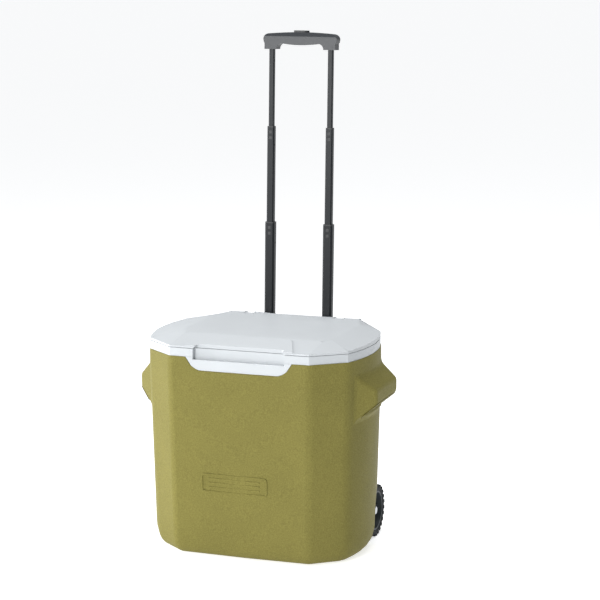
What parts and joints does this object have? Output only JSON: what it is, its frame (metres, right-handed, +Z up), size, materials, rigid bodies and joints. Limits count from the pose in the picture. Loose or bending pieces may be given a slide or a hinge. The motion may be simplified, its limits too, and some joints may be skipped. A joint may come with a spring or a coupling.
{
  "type": "wheeled cooler",
  "caption": "Insulated picnic cooler with a hinged lid, moulded side handles, a telescoping pull handle with a release button, and rear corner wheels.",
  "frame": {"origin": "on the floor under the middle of the body, at the centre of the flat base", "axes": "+X to the cooler's right, +Y to its rear where the pull handle is, +Z up"},
  "size_m": [0.486, 0.3757, 0.9921],
  "materials": {
    "shell": "pebbled olive polyethylene",
    "white": "fine-grained white polypropylene",
    "foam": "rigid polyurethane foam",
    "tube": "satin slate powder coat on aluminium",
    "black_plastic": "satin black nylon",
    "grip": "satin charcoal polypropylene",
    "hub": "dark blue-grey polypropylene",
    "tyre": "matt black thermoplastic rubber",
    "steel": "zinc-plated steel"
  },
  "bodies": {
    "root": {"body_shell": "shell", "body_foam": "foam", "inner_liner": "white", "hinge_pins": "steel", "guide_tube_left": "tube", "guide_tube_right": "tube", "guide_bushes": "black_plastic", "lower_bracket": "black_plastic", "upper_bracket": "black_plastic", "bracket_screws": "steel", "axle_left": "steel", "axle_right": "steel", "axle_socket_left": "black_plastic", "axle_socket_right": "black_plastic", "axle_washers": "steel", "axle_push_nuts": "steel"},
    "lid": {"lid_cover": "white", "lid_foam": "foam", "lid_liner": "white"},
    "handle_lower_stage": {"lower_tube_left": "tube", "lower_tube_right": "tube", "lower_tube_bushes": "black_plastic", "lower_tube_plugs": "black_plastic", "lower_lock_bolts": "steel", "lower_lock_grommets": "black_plastic"},
    "handle_middle_stage": {"middle_tube_left": "tube", "middle_tube_right": "tube", "middle_tube_bushes": "black_plastic", "middle_tube_plugs": "black_plastic", "middle_lock_bolts": "steel", "middle_lock_grommets": "black_plastic"},
    "handle_upper_stage": {"upper_tube_left": "tube", "upper_tube_right": "tube", "upper_tube_plugs": "black_plastic", "upper_lock_bolts": "steel", "grip_base": "grip", "grip_cover": "grip", "grip_screws": "steel", "button_spring": "steel"},
    "push_button": {"release_button": "black_plastic", "release_yoke": "black_plastic", "push_rods": "steel"},
    "wheel_left": {"wheel_hub_left": "hub", "tyre_left": "tyre"},
    "wheel_right": {"wheel_hub_right": "hub", "tyre_right": "tyre"}
  },
  "joints": [
    {"name": "lid_hinge", "type": "hinge", "parent": "root", "child": "lid", "pos_m": [0, 0.1525, 0.4183], "axis": [-1, 0, 0], "range_deg": [0, 92]},
    {"name": "handle_lower_slide", "type": "slide", "parent": "root", "child": "handle_lower_stage", "axis": [0, 0.0349, 0.9994], "range_m": [-0.2175, 0]},
    {"name": "handle_middle_slide", "type": "slide", "parent": "handle_lower_stage", "child": "handle_middle_stage", "axis": [0, 0.0349, 0.9994], "range_m": [-0.1905, 0]},
    {"name": "handle_upper_slide", "type": "slide", "parent": "handle_middle_stage", "child": "handle_upper_stage", "axis": [0, 0.0349, 0.9994], "range_m": [-0.1515, 0]},
    {"name": "button_press", "type": "slide", "parent": "handle_upper_stage", "child": "push_button", "axis": [0, 0.0349, 0.9994], "range_m": [-0.0036, 0], "stiffness_N_per_m": 900, "springref_m": 0.003, "deforming": ["button_spring"]},
    {"name": "wheel_left_spin", "type": "hinge", "parent": "root", "child": "wheel_left", "pos_m": [-0.184, 0.093, 0.052], "axis": [1, 0, 0], "continuous": true},
    {"name": "wheel_right_spin", "type": "hinge", "parent": "root", "child": "wheel_right", "pos_m": [0.184, 0.093, 0.052], "axis": [1, 0, 0], "continuous": true}
  ]
}
